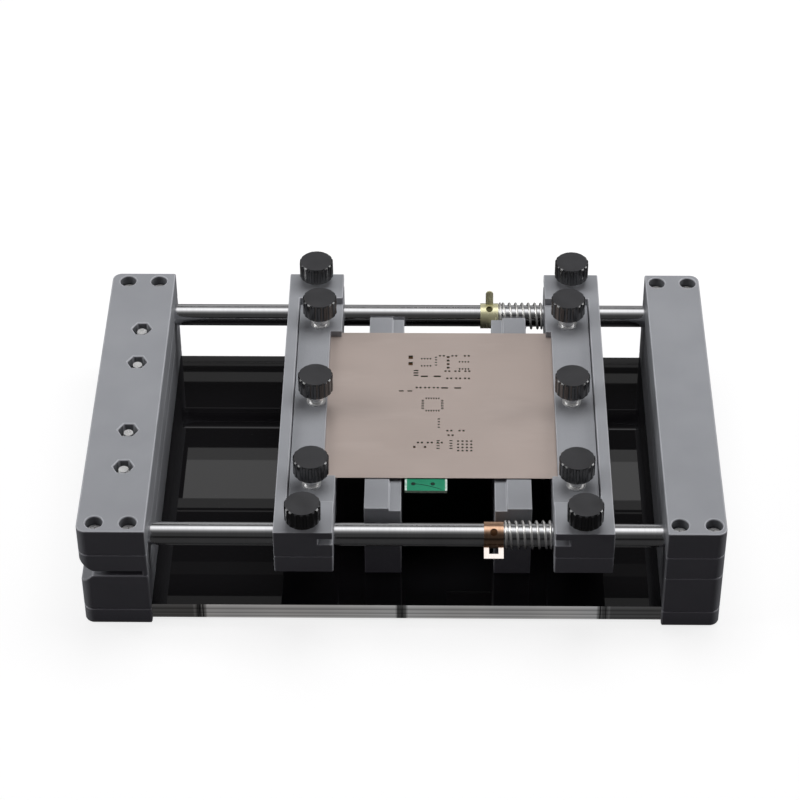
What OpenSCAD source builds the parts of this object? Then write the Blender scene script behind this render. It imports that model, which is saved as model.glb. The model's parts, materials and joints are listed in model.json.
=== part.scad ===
// Manual stencil printer: hinged rod frame with two clamp bars over a flat base
// Millimetres, Z up, X to the right, Y away from the operator
// Origin at the bottom centre of the bounding box

/* [Frame] */
// Overall width across both end blocks
frame_w = 328; // [290:1:400]
// Depth of the end blocks and clamp bars
frame_d = 210; // [190:1:230]
// Width of the left end block
left_w = 35; // [33:1:45]
// Width of the right end block
right_w = 30; // [28:1:40]
// Radius of the outer upright corners
corner_r = 5; // [2:0.5:6]

/* [Layers] */
// Thickness of the foot plates
foot_t = 10; // [8:0.5:14]
// Height of the lower blocks
lower_t = 24; // [20:0.5:30]
// Height of the rod centres above the lower blocks
rod_rise = 14.5; // [13.5:0.5:18]
// Thickness of the top caps and upper bar halves
cap_t = 16.5; // [15.5:0.5:20]
// Thickness of the lower bar halves
bar_low_t = 11; // [10:0.5:12]

/* [Base plate] */
// Thickness of the base plate
plate_t = 9.5; // [6:0.5:9.5]
// Setback of the front plate edge from the block ends
plate_inset = 3.7; // [3:0.1:6]
// Setback of the rear plate edge from the block ends
plate_inset_rear = 6.3; // [3:0.1:8]
// Length of plate let into each foot plate
plate_grip = 12; // [10:0.5:14]

/* [Rods] */
// Diameter of the slide rods
rod_d = 12; // [10:0.5:12]
// Distance of each rod from the ends of the blocks
rod_inset = 16.5; // [16:0.5:17]
// Wall left outside the rod ends
rod_wall = 5; // [3:0.5:8]
// Radial clearance between rods and their seats
rod_fit = 0.05; // [0.03:0.01:0.08]

/* [Clamp bars] */
// Width of each clamp bar
bar_w = 30; // [28:0.5:34]
// Centre of the left bar
left_bar_x = -49.5; // [-60:0.5:-48]
// Centre of the right bar
right_bar_x = 92.5; // [91:0.5:98]
// Width of the outer flange of a bar
flange_w = 6; // [4:0.5:7]
// Wall between the strip pocket and the ends of a bar
pocket_end = 22.5; // [22:0.5:24]
// Shift of the pocket towards the rear
pocket_shift = 1; // [0:0.1:1.2]
// Depth of the strip pocket
pocket_h = 8.4; // [7.5:0.1:9]
// Reach of the stencil slot in from the inner face
slot_reach = 7.7; // [4:0.1:8]
// Height of the stencil slot
slot_h = 3.7; // [2:0.1:5]

/* [Pressing strips] */
// Thickness of the pressing strips
strip_t = 4; // [3:0.1:4.5]
// Clearance round a strip in its pocket
strip_gap = 0.4; // [0.3:0.05:0.8]
// Length of the relief in the inner edge of a strip
relief_len = 117; // [90:1:120]
// Depth of the relief in the left strip
left_relief = 6.2; // [2:0.1:7]
// Depth of the relief in the right strip
right_relief = 3; // [2:0.1:7]

/* [Knobs] */
// Outer diameter of the fluted knobs
knob_d = 18.5; // [16:0.5:20]
// Height of the knobs
knob_h = 10.3; // [8:0.1:14]
// Number of flutes round a knob
knob_flutes = 18; // [12:1:24]
// Diameter of the metal boss under a knob
boss_d = 8; // [7:0.5:9]
// Height of the boss under the lock knobs
boss_h = 4; // [3:0.1:5]
// Diameter of the knob screws
stem_d = 5; // [4:0.5:5]
// Distance of the outer strip knobs from the pocket ends
strip_knob_end = 17.5; // [16.5:0.5:22]
// Distance of the lock knobs from the ends of a bar
lock_inset = 6.5; // [6:0.1:6.8]
// Thickness of the strip washers
washer_t = 1; // [0.6:0.1:1.4]

/* [Screws and nuts] */
// Shank diameter of the cap and base screws
screw_d = 4; // [3:0.5:4]
// Head diameter of the cap and base screws
head_d = 7.6; // [6.5:0.1:8]
// Head height of the cap and base screws
head_h = 2.6; // [2:0.1:3]
// Diameter of the counterbores
bore_d = 8.8; // [8.2:0.1:9]
// Depth of the counterbores under the foot plates
bore_h = 4; // [3.2:0.1:5]
// Depth of the counterbores in the top caps
cap_bore_h = 8; // [6:0.1:8.5]
// Distance of the cap screws from the ends of a block
cap_screw_inset = 7; // [6.5:0.1:7.5]
// Length of the cap screws below their heads
cap_screw_len = 20; // [16:0.5:20]
// Reach of the base screws into the lower blocks
base_screw_reach = 12; // [8:0.5:16]
// Distance of the outer base screws from the ends of a block
base_screw_inset = 23; // [18:1:30]
// Distance of the inner base screws from the middle plane
base_screw_mid = 30; // [20:1:40]
// Spacing of the screws that hold the base plate
plate_screw_pitch = 60; // [45:1:70]
// Half spacing of the cap screws across a block
cap_screw_x = 8.6; // [7:0.1:9]
// Width across the flats of the nuts
nut_af = 8; // [7:0.1:8]
// Thickness of the nuts
nut_t = 4; // [3:0.1:4]

/* [Hinges] */
// Thickness of a hinge leaf
leaf_t = 1.5; // [1.3:0.1:1.5]
// Length of each hinge
hinge_len = 50; // [44:1:54]
// Distance of each hinge from the middle plane
hinge_y = 41.8; // [40:0.1:44]
// Reach of a leaf from the pivot
leaf_reach = 25; // [23:0.5:25]
// Outer radius of the hinge barrel
barrel_r = 3; // [2.5:0.1:3]
// Diameter of the hinge pin
pin_d = 3; // [2:0.1:3.2]
// Half spacing of the screws in a leaf
leaf_screw_y = 14.2; // [12:0.1:16]
// Distance of the leaf screws from the outer face
leaf_screw_x = 20; // [19:0.5:21]
// Reach of the lower hinge screws into the lower block
leaf_screw_reach = 14; // [8:0.5:16]
// Diameter of the upper hinge screws
leaf_screw_d = 5; // [4:0.5:5]
// Width across the flats of the nut pockets in the left cap
hex_af = 9.4; // [8.6:0.1:9.6]
// Depth of the nut pockets in the left cap
hex_h = 10; // [8:0.5:11]
// Reach of the hinge screw ends above their nuts
tip_reach = 4; // [2:0.1:5]
// Width of the rib that closes the hinge gap at the inner face
rest_w = 2.9; // [2:0.1:4]
// Width of the groove for the hinge barrels
groove_w = 6.5; // [6:0.1:7]
// Rise of each side of the groove
groove_h = 5.7; // [5:0.1:6]

/* [Springs and band clamps] */
// Wire diameter of the tension springs
wire_d = 1.1; // [0.8:0.1:1.3]
// Radial gap between a spring and its rod
spring_gap = 0.45; // [0.35:0.05:0.6]
// Number of coils in a spring
spring_turns = 8; // [6:1:9]
// Width of a band clamp
band_w = 10; // [8:0.5:12]
// Thickness of the band
band_t = 1; // [0.8:0.1:1.2]
// Space between a band clamp and the right bar
spring_len = 25.5; // [22:0.5:30]
// Reach of the window ear of a clamp
ear_h = 7.5; // [5:0.5:9]
// Reach of the tongue ear of a clamp
tongue_ear_h = 9.5; // [6:0.5:10]
// Width of the frame round the window of an ear
ear_frame = 2.6; // [1.5:0.1:3]

/* [Stencil] */
// Length of the stencil between the bars
stencil_w = 150; // [145:0.5:152]
// Distance of the stencil edges from the outer strip screws
stencil_clear = 6; // [6:0.5:12]
// Thickness of the stencil sheet
stencil_t = 0.25; // [0.15:0.05:0.4]
// Shift of the stencil towards the rear
stencil_shift = 4; // [0:0.1:4]
// Grid step of the aperture layout
pad_step = 1; // [0.8:0.05:1.1]

/* [Board supports] */
// Width of a board support
support_w = 19; // [15:0.5:20]
// Space between the ends of a board support and the rods
support_clear = 5; // [4:0.5:20]
// Width of the ledge under the board
ledge_w = 6.2; // [4:0.1:8]
// Space between the two supports
support_space = 48.2; // [40:0.1:50]
// Middle of the space between the supports
support_mid = 23.7; // [20:0.1:25]
// Thickness of the circuit board
board_t = 1.6; // [1:0.1:2]
// Clearance between the board and the stencil
board_gap = 0.4; // [0.3:0.1:1]
// Length of the wide part of the board
board_len = 96; // [60:1:100]
// Distance of the wide part of the board in front of the middle plane
board_front = 46; // [30:1:50]
// Width of the tongue at the front of the board
tongue_w = 21.9; // [15:0.1:30]
// Distance of the tongue from the left support
tongue_side = 1.8; // [0.5:0.1:4]
// Length of the tongue at the front of the board
tongue_len = 18; // [10:0.5:18]

/* [Hidden] */
$fn = 48;
eps = 0.5;
half_w = frame_w / 2;
half_d = frame_d / 2;
// Levels of the stack
z_lower = foot_t + lower_t;
z_rod = z_lower + rod_rise;
z_top = z_rod + cap_t;
z_floor = z_top - pocket_h;
z_sheet = z_floor + stencil_t;
z_strip = z_sheet + strip_t;
z_knob = z_top + boss_h;
z_bar = z_rod - bar_low_t;
z_leaf = z_lower + leaf_t;
z_seat = z_lower + 2 * leaf_t;
z_board = z_floor - board_gap;
z_ledge = z_board - board_t;
plate_front = -half_d + plate_inset;
plate_d = frame_d - plate_inset - plate_inset_rear;
rod_y = half_d - rod_inset;
lock_y = half_d - lock_inset;
cap_screw_y = half_d - cap_screw_inset;
pocket_len = frame_d - 2 * pocket_end;
strip_knob_pitch = pocket_len / 2 - strip_knob_end;
stencil_d = 2 * (strip_knob_pitch - stencil_clear);
rod_r = rod_d / 2;
support_len = 2 * (rod_y - rod_r - support_clear);
seat_r = rod_r + rod_fit;
rod_end = half_w - rod_wall;
pivot_x = -half_w + barrel_r;
// Screw fits
hole_d = screw_d + 0.1;
stem_hole_d = stem_d + 0.16;
leaf_hole_d = leaf_screw_d + 0.3;
leaf_x = -half_w + leaf_screw_x;
left_mid = -half_w + left_w / 2;
right_mid = half_w - right_w / 2;
left_face = -half_w + left_w;
right_face = half_w - right_w;
base_screw_top = foot_t + base_screw_reach;
// Places of the strip knobs across a bar and along it
knob_u = flange_w + (bar_w - flange_w) / 2;
knob_rows = [-1, 0, 1];
function row_y(i) = pocket_shift + i * strip_knob_pitch;
function bar_outer(s) = s < 0 ? left_bar_x - bar_w / 2 : right_bar_x + bar_w / 2;
// X of a distance in from the outer face of the left or right bar
function bar_x(s, u) = s < 0 ? bar_outer(s) + u : bar_outer(s) - u;
spring_x1 = right_bar_x - bar_w / 2;
spring_x0 = spring_x1 - spring_len;
spring_r = rod_r + spring_gap + wire_d / 2;
support_l1 = support_mid - support_space / 2;
support_r0 = support_mid + support_space / 2;

// Rectangle from x 0 to w with the two corners at x 0 rounded
module outline(w) {
  translate([corner_r, -half_d])
    square([w - corner_r, frame_d]);
  translate([0, -half_d + corner_r])
    square([corner_r + 0.01, frame_d - 2 * corner_r]);
  for (s = [-1, 1])
    translate([corner_r, s * (half_d - corner_r)])
      circle(corner_r);
}
// Upright slab of the left (s -1) or right (s 1) end block between two levels
module slab(s, z0, z1) {
  translate([s * half_w, 0, z0])
    mirror([s > 0 ? 1 : 0, 0, 0])
      linear_extrude(z1 - z0)
        outline(s < 0 ? left_w : right_w);
}
module drill(x, y, z0, z1, d) {
  translate([x, y, z0])
    cylinder(h = z1 - z0, d = d);
}
// Hexagonal prism with two corners towards plus and minus X
module hex(x, y, z0, h, af) {
  translate([x, y, z0])
    cylinder(h = h, d = af / cos(30), $fn = 6);
}
module rod_bores(x0, x1) {
  for (s = [-1, 1])
    translate([x0, s * rod_y, z_rod])
      rotate([0, 90, 0])
        cylinder(h = x1 - x0, r = seat_r);
}
// Pan head screw with a cross recess, head up, bearing level at z
module pan_screw(x, y, z, len) {
  translate([x, y, z]) {
    difference() {
      union() {
        cylinder(h = head_h, d = head_d);
        translate([0, 0, -len])
          cylinder(h = len + 0.1, d = screw_d);
      }
      for (a = [0, 90])
        rotate(a)
          translate([-head_d * 0.28, -0.45, head_h - 1.2])
            cube([head_d * 0.56, 0.9, 2]);
    }
  }
}
module cap_screw_places(s) {
  mid = s < 0 ? left_mid : right_mid;
  for (a = [-1, 1], b = [-1, 1])
    translate([mid + a * cap_screw_x, b * cap_screw_y, 0])
      children();
}
module leaf_screw_places() {
  for (a = [-1, 1], b = [-1, 1])
    translate([leaf_x, a * hinge_y + b * leaf_screw_y, 0])
      children();
}
foot_row = half_d - base_screw_inset;
foot_rows = [-foot_row, -base_screw_mid, base_screw_mid, foot_row];
grip_rows = [-plate_screw_pitch, 0, plate_screw_pitch];
module foot_screw_places(s) {
  deep = (s < 0 ? left_w : right_w) - plate_grip;
  for (y = foot_rows)
    translate([s * (half_w - deep / 2), y, 0])
      children();
}
module plate_screw_places(s) {
  face = s < 0 ? left_face : right_face;
  for (y = grip_rows)
    translate([face + s * plate_grip / 2, y, 0])
      children();
}

// Base
module base_plate() {
  color([0.02, 0.02, 0.025])
    difference() {
      translate([left_face - plate_grip, plate_front, foot_t - plate_t])
        cube([right_face - left_face + 2 * plate_grip, plate_d, plate_t]);
      for (s = [-1, 1])
        plate_screw_places(s) {
          drill(0, 0, -1, foot_t + 1, hole_d);
          drill(0, 0, -1, bore_h, bore_d);
        }
    }
}
module foot_plate(s) {
  face = s < 0 ? left_face : right_face;
  difference() {
    slab(s, 0, foot_t);
    translate([s < 0 ? face - plate_grip : face - eps, plate_front, -1])
      cube([plate_grip + eps, plate_d, foot_t + 2]);
    foot_screw_places(s) {
      drill(0, 0, -1, foot_t + 1, hole_d);
      drill(0, 0, -1, bore_h, bore_d);
    }
  }
}
module left_foot_plate() {
  color([0.55, 0.57, 0.59]) foot_plate(-1);
}
module right_foot_plate() {
  color([0.55, 0.57, 0.59]) foot_plate(1);
}
// Wedge along Y that makes room for the hinge barrels, opening outward
module groove(z0, up) {
  translate([-half_w, half_d + 1, z0])
    rotate([90, 0, 0])
      linear_extrude(frame_d + 2)
        polygon([[-1, up * 1], [groove_w + 0.01, up * 1], [groove_w, 0],
          [0, -up * groove_h], [-1, -up * groove_h]]);
}
module lower_block(s) {
  difference() {
    slab(s, foot_t, z_lower);
    foot_screw_places(s)
      drill(0, 0, foot_t - 1, base_screw_top + 1, hole_d);
    plate_screw_places(s)
      drill(0, 0, foot_t - 1, base_screw_top + 1, hole_d);
    if (s < 0) {
      groove(z_lower, 1);
      leaf_screw_places()
        drill(0, 0, z_lower - leaf_screw_reach - 2, z_lower + 1, hole_d);
    }
  }
}
module left_lower_block() {
  color([0.55, 0.57, 0.59]) lower_block(-1);
}
module right_lower_block() {
  color([0.55, 0.57, 0.59]) lower_block(1);
}
module base_screws() {
  color("silver")
    for (s = [-1, 1]) {
      foot_screw_places(s)
        mirror([0, 0, 1]) pan_screw(0, 0, -bore_h, base_screw_top - bore_h);
      plate_screw_places(s)
        mirror([0, 0, 1]) pan_screw(0, 0, -bore_h, base_screw_top - bore_h);
    }
}

// Hinges
knuckle_gap = 0.35;
// Depth of the flat screw heads let into a leaf
sunk_h = leaf_t * 0.7;
module barrel(y0, y1) {
  translate([pivot_x, y0, z_leaf])
    rotate([-90, 0, 0])
      cylinder(h = y1 - y0, r = barrel_r);
}
// One leaf about the hinge middle y; kind 0 lies below the pivot, 1 above
module leaf(y, kind) {
  third = hinge_len / 3;
  z0 = kind == 0 ? z_lower : z_leaf;
  head_z = kind == 0 ? z_leaf - sunk_h : z_leaf - 1;
  difference() {
    union() {
      translate([pivot_x, y - hinge_len / 2, z0])
        cube([leaf_reach, hinge_len, leaf_t]);
      if (kind == 0) {
        barrel(y - hinge_len / 2, y - third / 2 - knuckle_gap / 2);
        barrel(y + third / 2 + knuckle_gap / 2, y + hinge_len / 2);
      } else {
        barrel(y - third / 2 + knuckle_gap / 2, y + third / 2 - knuckle_gap / 2);
      }
    }
    // Room for the knuckles of the other leaf
    if (kind == 0) {
      translate([pivot_x - barrel_r - 1, y - third / 2 - knuckle_gap / 2, z0 - 5])
        cube([2 * barrel_r + 1 + knuckle_gap, third + knuckle_gap, 10 + leaf_t]);
    } else {
      for (a = [-1, 1])
        translate([pivot_x - barrel_r - 1,
            a < 0 ? y - hinge_len : y + third / 2 - knuckle_gap / 2, z0 - 5])
          cube([2 * barrel_r + 1 + knuckle_gap,
            hinge_len - third / 2 + knuckle_gap / 2, 10 + leaf_t]);
    }
    translate([pivot_x, y - hinge_len, z_leaf])
      rotate([-90, 0, 0])
        cylinder(h = 2 * hinge_len, d = pin_d + 0.1);
    for (b = [-1, 1]) {
      drill(leaf_x, y + b * leaf_screw_y, z0 - 1, z0 + leaf_t + 1,
        kind == 0 ? hole_d : leaf_hole_d);
      drill(leaf_x, y + b * leaf_screw_y, head_z, head_z + sunk_h + 1, bore_d);
    }
  }
}
module hinge_fixed_leaf_front() {
  color("silver") leaf(-hinge_y, 0);
}
module hinge_fixed_leaf_rear() {
  color("silver") leaf(hinge_y, 0);
}
module hinge_moving_leaf_front() {
  color("silver") leaf(-hinge_y, 1);
}
module hinge_moving_leaf_rear() {
  color("silver") leaf(hinge_y, 1);
}
module hinge_pins() {
  color("silver")
    for (s = [-1, 1])
      translate([pivot_x, s * hinge_y - hinge_len / 2, z_leaf])
        rotate([-90, 0, 0])
          cylinder(h = hinge_len, d = pin_d);
}
module hinge_lower_screws() {
  color("silver")
    leaf_screw_places() {
      drill(0, 0, z_leaf - sunk_h, z_leaf - 0.1, head_d);
      drill(0, 0, z_lower - leaf_screw_reach, z_leaf - sunk_h + 0.1, screw_d);
    }
}
hex_z = z_top - hex_h;
module hinge_upper_screws() {
  color("silver")
    leaf_screw_places() {
      drill(0, 0, z_leaf + 0.1, z_leaf + sunk_h, head_d);
      drill(0, 0, z_leaf + sunk_h - 0.1, hex_z + nut_t + tip_reach, leaf_screw_d);
    }
}
module hinge_nuts() {
  color("silver")
    leaf_screw_places()
      difference() {
        hex(0, 0, hex_z, nut_t, nut_af);
        drill(0, 0, hex_z - 1, hex_z + nut_t + 1, leaf_screw_d + 0.1);
      }
}

// Upper frame
module top_cap(s) {
  difference() {
    slab(s, z_rod, z_top);
    if (s < 0)
      rod_bores(-rod_end, left_face + 1);
    else
      rod_bores(right_face - 1, rod_end);
    cap_screw_places(s) {
      drill(0, 0, z_rod - 1, z_top, hole_d + 0.3);
      drill(0, 0, z_top - cap_bore_h, z_top + 1, bore_d);
    }
    if (s < 0)
      leaf_screw_places() {
        drill(0, 0, z_rod - 1, z_top, leaf_hole_d);
        hex(0, 0, hex_z, hex_h + 1, hex_af);
      }
  }
}
module left_top_cap() {
  color([0.6, 0.62, 0.64]) top_cap(-1);
}
module right_top_cap() {
  color([0.6, 0.62, 0.64]) top_cap(1);
}
module rod_seat(s) {
  difference() {
    union() {
      slab(s, s < 0 ? z_seat : z_lower, z_rod);
      // Rib along the inner face that rests on the lower block
      if (s < 0)
        translate([left_face - rest_w, -half_d, z_lower])
          cube([rest_w, frame_d, z_rod - z_lower]);
    }
    if (s < 0)
      rod_bores(-rod_end, left_face + 1);
    else
      rod_bores(right_face - 1, rod_end);
    cap_screw_places(s)
      drill(0, 0, z_lower + 1.5, z_rod + 1, hole_d);
    if (s < 0) {
      groove(z_seat, -1);
      leaf_screw_places()
        drill(0, 0, z_lower, z_rod + 1, leaf_hole_d);
    }
  }
}
module left_rod_seat() {
  color([0.55, 0.57, 0.59]) rod_seat(-1);
}
module right_rod_seat() {
  color([0.55, 0.57, 0.59]) rod_seat(1);
}
// Rod with chamfered ends
module rod(y) {
  c = 0.8;
  len = 2 * rod_end - 0.4;
  translate([-len / 2, y, z_rod])
    rotate([0, 90, 0])
      rotate_extrude()
        polygon([[0, 0], [rod_r - c, 0], [rod_r, c], [rod_r, len - c], [rod_r - c, len], [0, len]]);
}
module front_rod() {
  color("gainsboro") rod(-rod_y);
}
module rear_rod() {
  color("gainsboro") rod(rod_y);
}
module cap_screws() {
  color("silver")
    for (s = [-1, 1])
      cap_screw_places(s)
        pan_screw(0, 0, z_top - cap_bore_h, cap_screw_len);
}

// Clamp bars, drawn with u from the outer face (0) to the inner face (bar_w)
module on_bar(s) {
  translate([bar_outer(s), 0, 0])
    mirror([s > 0 ? 1 : 0, 0, 0])
      children();
}
module bar_upper(s) {
  difference() {
    on_bar(s)
      difference() {
        translate([0, -half_d, z_rod])
          cube([bar_w, frame_d, cap_t]);
        translate([flange_w, pocket_shift - pocket_len / 2, z_floor])
          cube([bar_w, pocket_len, pocket_h + 1]);
        translate([bar_w - slot_reach, -half_d - 1, z_floor])
          cube([slot_reach + 1, frame_d + 2, slot_h]);
        for (i = knob_rows) {
          drill(knob_u, row_y(i), z_rod - 1, z_top, stem_hole_d);
          hex(knob_u, row_y(i), z_rod - 1, nut_t + 1, nut_af + 0.2);
        }
        for (a = [-1, 1])
          drill(bar_w / 2, a * lock_y, z_rod - 1, z_top + 1, stem_hole_d);
      }
    rod_bores(bar_x(s, 0) - bar_w - 1, bar_x(s, 0) + bar_w + 1);
  }
}
module bar_lower(s) {
  difference() {
    on_bar(s)
      difference() {
        translate([0, -half_d, z_bar])
          cube([bar_w, frame_d, bar_low_t]);
        for (a = [-1, 1]) {
          drill(bar_w / 2, a * lock_y, z_bar - 1, z_rod + 1, stem_hole_d);
          hex(bar_w / 2, a * lock_y, z_bar - 1, nut_t + 1, nut_af + 0.2);
        }
      }
    rod_bores(bar_x(s, 0) - bar_w - 1, bar_x(s, 0) + bar_w + 1);
  }
}
module bar_nuts(s) {
  on_bar(s) {
    for (i = knob_rows)
      difference() {
        hex(knob_u, row_y(i), z_rod, nut_t, nut_af);
        drill(knob_u, row_y(i), z_rod - 1, z_rod + nut_t + 1, stem_hole_d);
      }
    for (a = [-1, 1])
      difference() {
        hex(bar_w / 2, a * lock_y, z_bar, nut_t, nut_af);
        drill(bar_w / 2, a * lock_y, z_bar - 1, z_bar + nut_t + 1, stem_hole_d);
      }
  }
}
module left_bar_upper() {
  color([0.58, 0.6, 0.62]) bar_upper(-1);
}
module left_bar_lower() {
  color([0.58, 0.6, 0.62]) bar_lower(-1);
}
module left_bar_nuts() {
  color("silver") bar_nuts(-1);
}
module right_bar_upper() {
  color([0.58, 0.6, 0.62]) bar_upper(1);
}
module right_bar_lower() {
  color([0.58, 0.6, 0.62]) bar_lower(1);
}
module right_bar_nuts() {
  color("silver") bar_nuts(1);
}

// Pressing strips
module strip(s, relief) {
  u0 = flange_w + strip_gap;
  len = pocket_len - 2 * strip_gap;
  on_bar(s)
    difference() {
      translate([u0, pocket_shift - len / 2, z_sheet])
        cube([bar_w - u0, len, strip_t]);
      translate([bar_w - relief, pocket_shift - relief_len / 2, z_sheet - 1])
        cube([relief + 1, relief_len, strip_t + 2]);
      for (i = knob_rows)
        drill(knob_u, row_y(i), z_sheet - 1, z_strip + 1, stem_d + 0.8);
    }
}
module strip_washers(s) {
  on_bar(s)
    for (i = knob_rows)
      difference() {
        drill(knob_u, row_y(i), z_strip, z_strip + washer_t, boss_d + 2);
        drill(knob_u, row_y(i), z_strip - 1, z_strip + washer_t + 1, stem_d + 0.8);
      }
}
module left_strip() {
  color([0.6, 0.62, 0.64]) strip(-1, left_relief);
}
module right_strip() {
  color([0.6, 0.62, 0.64]) strip(1, right_relief);
}
module left_strip_washers() {
  color("silver") strip_washers(-1);
}
module right_strip_washers() {
  color("silver") strip_washers(1);
}

// Knobs: fluted grip with a bevelled rim and a blind bore for the metal boss
insert_h = 6;
rim = 0.6;
module knob(x, y) {
  r = knob_d / 2;
  translate([x, y, z_knob])
    difference() {
      intersection() {
        linear_extrude(knob_h)
          difference() {
            circle(r);
            for (i = [0:knob_flutes - 1])
              rotate(i * 360 / knob_flutes)
                translate([r + 0.35, 0])
                  circle(1.05, $fn = 16);
          }
        rotate_extrude()
          polygon([[0, 0], [r - rim, 0], [r, rim], [r, knob_h - rim], [r - rim, knob_h], [0, knob_h]]);
      }
      translate([0, 0, -1])
        cylinder(h = insert_h + 1, d = boss_d + 0.1);
    }
}
// Metal boss and screw of a knob, bearing level z0, screw end z1
module knob_screw(x, y, z0, z1) {
  drill(x, y, z0, z_knob + insert_h - 0.1, boss_d);
  drill(x, y, z1, z0 + 0.1, stem_d);
}
module strip_knob(s, i) {
  knob(bar_x(s, knob_u), row_y(i));
}
module strip_screw(s, i) {
  knob_screw(bar_x(s, knob_u), row_y(i), z_strip + washer_t, z_rod + 0.4);
}
module lock_knob(s, a) {
  knob(bar_x(s, bar_w / 2), a * lock_y);
}
module lock_screw(s, a) {
  knob_screw(bar_x(s, bar_w / 2), a * lock_y, z_top, z_bar + 0.4);
}
module left_strip_knob_front() {
  color([0.12, 0.12, 0.13]) strip_knob(-1, -1);
}
module left_strip_knob_mid() {
  color([0.12, 0.12, 0.13]) strip_knob(-1, 0);
}
module left_strip_knob_rear() {
  color([0.12, 0.12, 0.13]) strip_knob(-1, 1);
}
module right_strip_knob_front() {
  color([0.12, 0.12, 0.13]) strip_knob(1, -1);
}
module right_strip_knob_mid() {
  color([0.12, 0.12, 0.13]) strip_knob(1, 0);
}
module right_strip_knob_rear() {
  color([0.12, 0.12, 0.13]) strip_knob(1, 1);
}
module left_lock_knob_front() {
  color([0.12, 0.12, 0.13]) lock_knob(-1, -1);
}
module left_lock_knob_rear() {
  color([0.12, 0.12, 0.13]) lock_knob(-1, 1);
}
module right_lock_knob_front() {
  color([0.12, 0.12, 0.13]) lock_knob(1, -1);
}
module right_lock_knob_rear() {
  color([0.12, 0.12, 0.13]) lock_knob(1, 1);
}
module left_strip_screw_front() {
  color("silver") strip_screw(-1, -1);
}
module left_strip_screw_mid() {
  color("silver") strip_screw(-1, 0);
}
module left_strip_screw_rear() {
  color("silver") strip_screw(-1, 1);
}
module right_strip_screw_front() {
  color("silver") strip_screw(1, -1);
}
module right_strip_screw_mid() {
  color("silver") strip_screw(1, 0);
}
module right_strip_screw_rear() {
  color("silver") strip_screw(1, 1);
}
module left_lock_screw_front() {
  color("silver") lock_screw(-1, -1);
}
module left_lock_screw_rear() {
  color("silver") lock_screw(-1, 1);
}
module right_lock_screw_front() {
  color("silver") lock_screw(1, -1);
}
module right_lock_screw_rear() {
  color("silver") lock_screw(1, 1);
}

// Springs: a wire swept along a helix with closed end coils
coil_steps = 20;
wire_sides = 8;
spring_end = 0.1;
// Share of the free length used at a share t of the turns, flat at both ends
function coil_share(t) = t < 0.12 ? t * 0.45 : t > 0.88 ? 1 - (1 - t) * 0.45 :
  0.054 + (t - 0.12) / 0.76 * 0.892;
module spring(y) {
  n = spring_turns * coil_steps;
  run = spring_len - 2 * spring_end - wire_d;
  rings = [for (i = [0:n])
    let (t = i / n, a = 360 * i / coil_steps,
      x = spring_x0 + spring_end + wire_d / 2 + run * coil_share(t))
    [for (k = [0:wire_sides - 1])
      let (b = 360 * k / wire_sides, r = spring_r + wire_d / 2 * cos(b))
      [x + wire_d / 2 * sin(b), y + r * cos(a), z_rod + r * sin(a)]]];
  points = [for (ring = rings) each ring];
  walls = [for (i = [0:n - 1], k = [0:wire_sides - 1])
    let (k2 = (k + 1) % wire_sides)
    [i * wire_sides + k, i * wire_sides + k2, (i + 1) * wire_sides + k2, (i + 1) * wire_sides + k]];
  first = [[for (k = [wire_sides - 1:-1:0]) k]];
  last = [[for (k = [0:wire_sides - 1]) n * wire_sides + k]];
  polyhedron(points, concat(walls, first, last));
}
module front_spring() {
  color("gainsboro") spring(-rod_y);
}
module rear_spring() {
  color("gainsboro") spring(rod_y);
}

// Band clamp: sprung band with a round hole, a window ear and a tongue ear
// The turn places the window ear round the rod; tongue and hole count from it
module band_clamp(y, turn, spread, hole_turn) {
  r0 = seat_r;
  r1 = seat_r + band_t;
  tongue = band_w * 0.42;
  translate([spring_x0 - band_w / 2, y, z_rod])
    rotate([turn, 0, 0])
      difference() {
        union() {
          translate([-band_w / 2, 0, 0])
            rotate([0, 90, 0])
              difference() {
                cylinder(h = band_w, r = r1);
                translate([0, 0, -1])
                  cylinder(h = band_w + 2, r = r0);
              }
          // Window ear, standing out along plus Z before the turn
          difference() {
            translate([-band_w / 2, -band_t / 2, r0 + 0.1])
              cube([band_w, band_t, ear_h]);
            translate([ear_frame - band_w / 2, -band_t, r1])
              cube([band_w - 2 * ear_frame, 2 * band_t, r0 + 0.1 + ear_h - ear_frame - r1]);
          }
          // Tongue ear with a round tip
          rotate([spread, 0, 0])
            translate([0, band_t / 2, r0 + 0.1])
              rotate([90, 0, 0])
                linear_extrude(band_t) {
                  translate([-tongue / 2, 0])
                    square([tongue, tongue_ear_h - tongue / 2]);
                  translate([0, tongue_ear_h - tongue / 2])
                    circle(d = tongue);
                }
        }
        // Round hole in the band at the end of its slot
        rotate([hole_turn, 0, 0])
          cylinder(h = 2 * r1, d = band_w * 0.38);
      }
}
module front_band_clamp() {
  color([0.72, 0.5, 0.3]) band_clamp(-rod_y, 110, 100, -75);
}
module rear_band_clamp() {
  color([0.75, 0.68, 0.4]) band_clamp(rod_y, -130, 120, 148);
}

// Stencil sheet with a plain layout of small apertures
pad_x = 15.5;
pad_y = 3;
pad_gap = 1.6;
// Aperture w by d about a place on the grid, all counted in grid steps
module pad(x, y, w, d) {
  translate([pad_x, pad_y, z_floor - 1])
    scale([pad_step, pad_step, pad_step])
      translate([x - w / 2, y - d / 2, 0])
        cube([w, d, 3]);
}
// Field of nx by ny equal apertures about a place, with the steps sx and sy
module field(x, y, nx, ny, sx, sy, w, d) {
  for (i = [0:nx - 1], j = [0:ny - 1])
    pad(x + (i - (nx - 1) / 2) * sx, y + (j - (ny - 1) / 2) * sy, w, d);
}
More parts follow.
